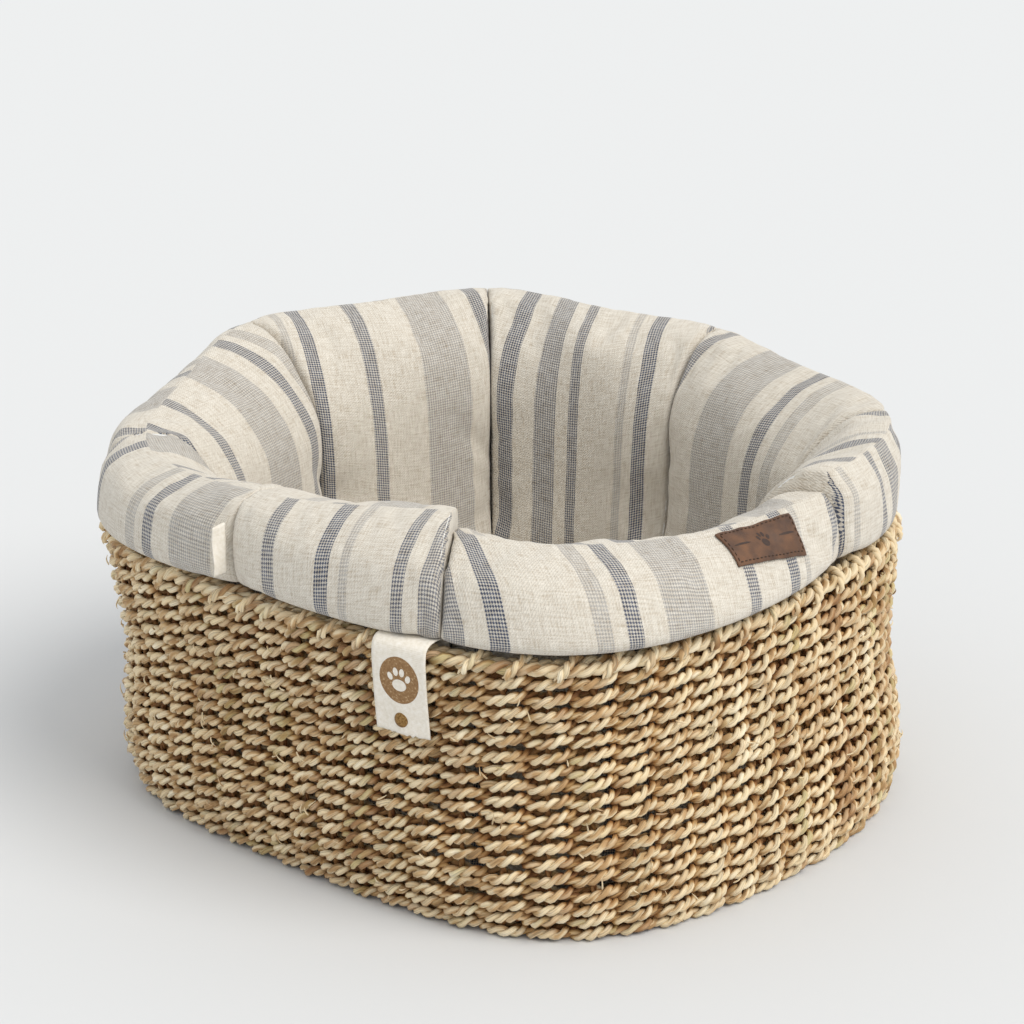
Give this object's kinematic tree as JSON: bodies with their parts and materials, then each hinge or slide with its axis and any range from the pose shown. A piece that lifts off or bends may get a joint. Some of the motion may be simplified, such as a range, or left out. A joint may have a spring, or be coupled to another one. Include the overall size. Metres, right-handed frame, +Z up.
{
  "type": "pet bed basket",
  "caption": "Round twined seagrass pet basket with a lift-out padded bolster insert in striped linen and a loose zipped seat cushion.",
  "frame": {"origin": "middle of the basket's outline at the height of the surface it stands on", "axes": "+Z up, -Y the front with the rim tag, +X to the right seen from the front"},
  "size_m": [0.5705, 0.5578, 0.2893],
  "materials": {
    "seagrass": "dry twisted grass, matte",
    "striped_linen": "heathered weave with blue grey stripes",
    "cotton_tape": "herringbone cotton tape",
    "filling": "loose polyester fibre",
    "leather": "smooth, dark edges",
    "brass": "antiqued",
    "zip_tape": "woven polyester",
    "nylon": "moulded coil",
    "zinc": "plated die casting"
  },
  "bodies": {
    "basket": {"base_rounds_lower": "seagrass", "base_spokes": "seagrass", "base_rounds_upper": "seagrass", "wall_stakes": "seagrass", "weft_row_01": "seagrass", "weft_row_02": "seagrass", "weft_row_03": "seagrass", "weft_row_04": "seagrass", "weft_row_05": "seagrass", "weft_row_06": "seagrass", "weft_row_07": "seagrass", "weft_row_08": "seagrass", "weft_row_09": "seagrass", "weft_row_10": "seagrass", "weft_row_11": "seagrass", "weft_row_12": "seagrass", "weft_row_13": "seagrass", "weft_row_14": "seagrass", "weft_row_15": "seagrass", "weft_row_16": "seagrass", "weft_row_17": "seagrass", "weft_row_18": "seagrass", "rim_border": "seagrass", "rim_loops": "seagrass", "rim_tag": "cotton_tape", "tag_stud": "brass"},
    "insert": {"insert_liner": "striped_linen", "inner_panel_1": "striped_linen", "inner_panel_2": "striped_linen", "inner_panel_3": "striped_linen", "inner_panel_4": "striped_linen", "inner_panel_5": "striped_linen", "inner_panel_6": "striped_linen", "inner_panel_7": "striped_linen", "inner_panel_8": "striped_linen", "outer_panel_1": "striped_linen", "outer_panel_2": "striped_linen", "outer_panel_3": "striped_linen", "outer_panel_4": "striped_linen", "outer_panel_5": "striped_linen", "outer_panel_6": "striped_linen", "outer_panel_7": "striped_linen", "outer_panel_8": "striped_linen", "bolster_filling": "filling", "leather_patch": "leather", "seam_label": "cotton_tape"},
    "seat_cushion": {"seat_cover_top": "striped_linen", "seat_cover_bottom": "striped_linen", "seat_filling": "filling", "zip_tape": "zip_tape", "zip_coil": "nylon", "zip_stops": "zinc"},
    "zip_slider": {"zip_slider": "zinc"},
    "zip_pull": {"zip_pull": "zinc"}
  },
  "joints": [
    {"name": "insert_lift", "type": "slide", "parent": "basket", "child": "insert", "axis": [0, 0, 1], "range_m": [0, 0.2]},
    {"name": "seat_lift", "type": "slide", "parent": "insert", "child": "seat_cushion", "axis": [0, 0, 1], "range_m": [0, 0.3]},
    {"name": "zip_travel", "type": "slide", "parent": "seat_cushion", "child": "zip_slider", "axis": [1, 0, 0], "range_m": [0, 0.205]},
    {"name": "zip_pull_hinge", "type": "hinge", "parent": "zip_slider", "child": "zip_pull", "pos_m": [-0.103, 0.07, 0.0302], "axis": [0, 1, 0], "range_deg": [0, 30]}
  ]
}
